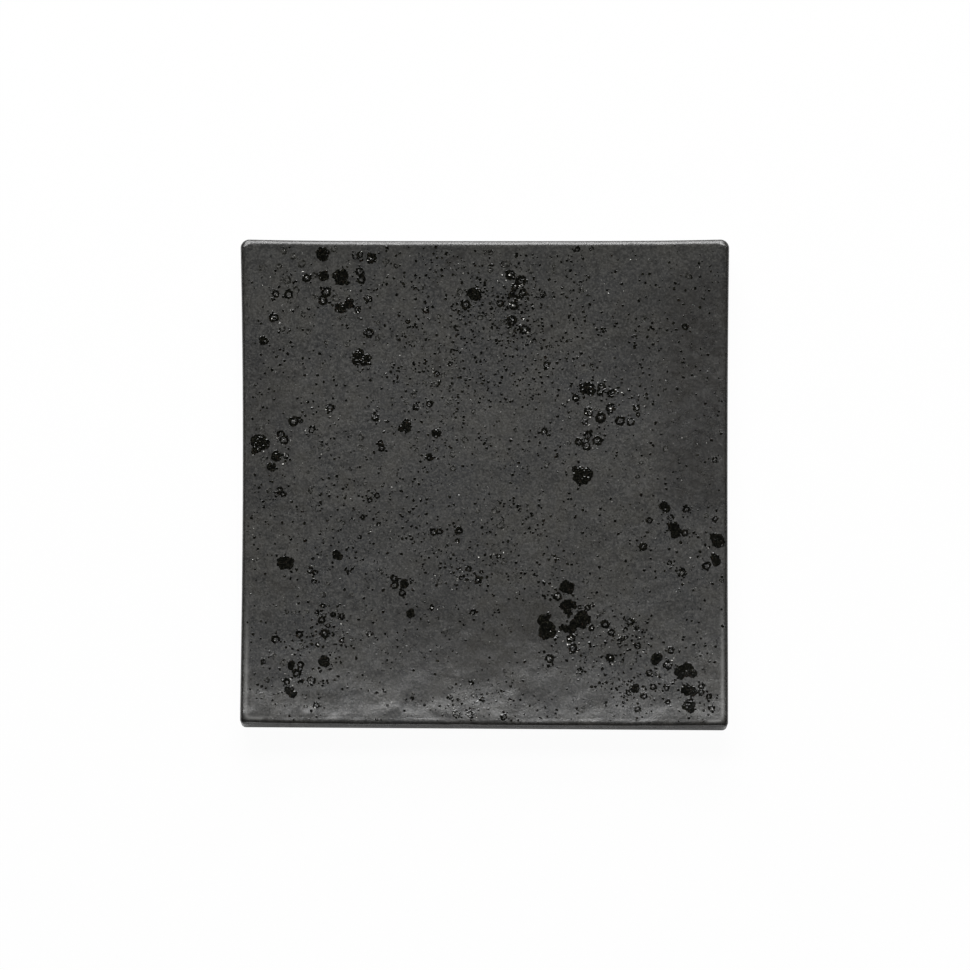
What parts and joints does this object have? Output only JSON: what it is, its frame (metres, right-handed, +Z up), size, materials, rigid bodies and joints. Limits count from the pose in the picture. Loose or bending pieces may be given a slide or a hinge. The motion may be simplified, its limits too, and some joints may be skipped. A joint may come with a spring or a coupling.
{
  "type": "square dinner plate",
  "caption": "Square stoneware plate with a low rim, a foot ring, a satin-matt charcoal glaze and scattered black gloss drops.",
  "frame": {"origin": "middle of the resting plane, under the centre of the plate", "axes": "+Z up, +X to the right and +Y to the back of the plate as it is laid on a table"},
  "size_m": [0.2603, 0.2622, 0.0219],
  "materials": {
    "stoneware": "bare fired clay, sandy matt",
    "matt_glaze": "satin-matt charcoal",
    "gloss_glaze": "high gloss, nearly black",
    "burst_glaze": "satin, dark olive grey"
  },
  "bodies": {
    "root": {"clay_slab": "stoneware", "foot_ring": "stoneware", "matt_glaze_coat": "matt_glaze", "base_glaze_panel": "matt_glaze", "gloss_pools": "gloss_glaze", "gloss_rings": "gloss_glaze", "faint_rings": "burst_glaze", "gloss_specks": "gloss_glaze"}
  },
  "joints": []
}
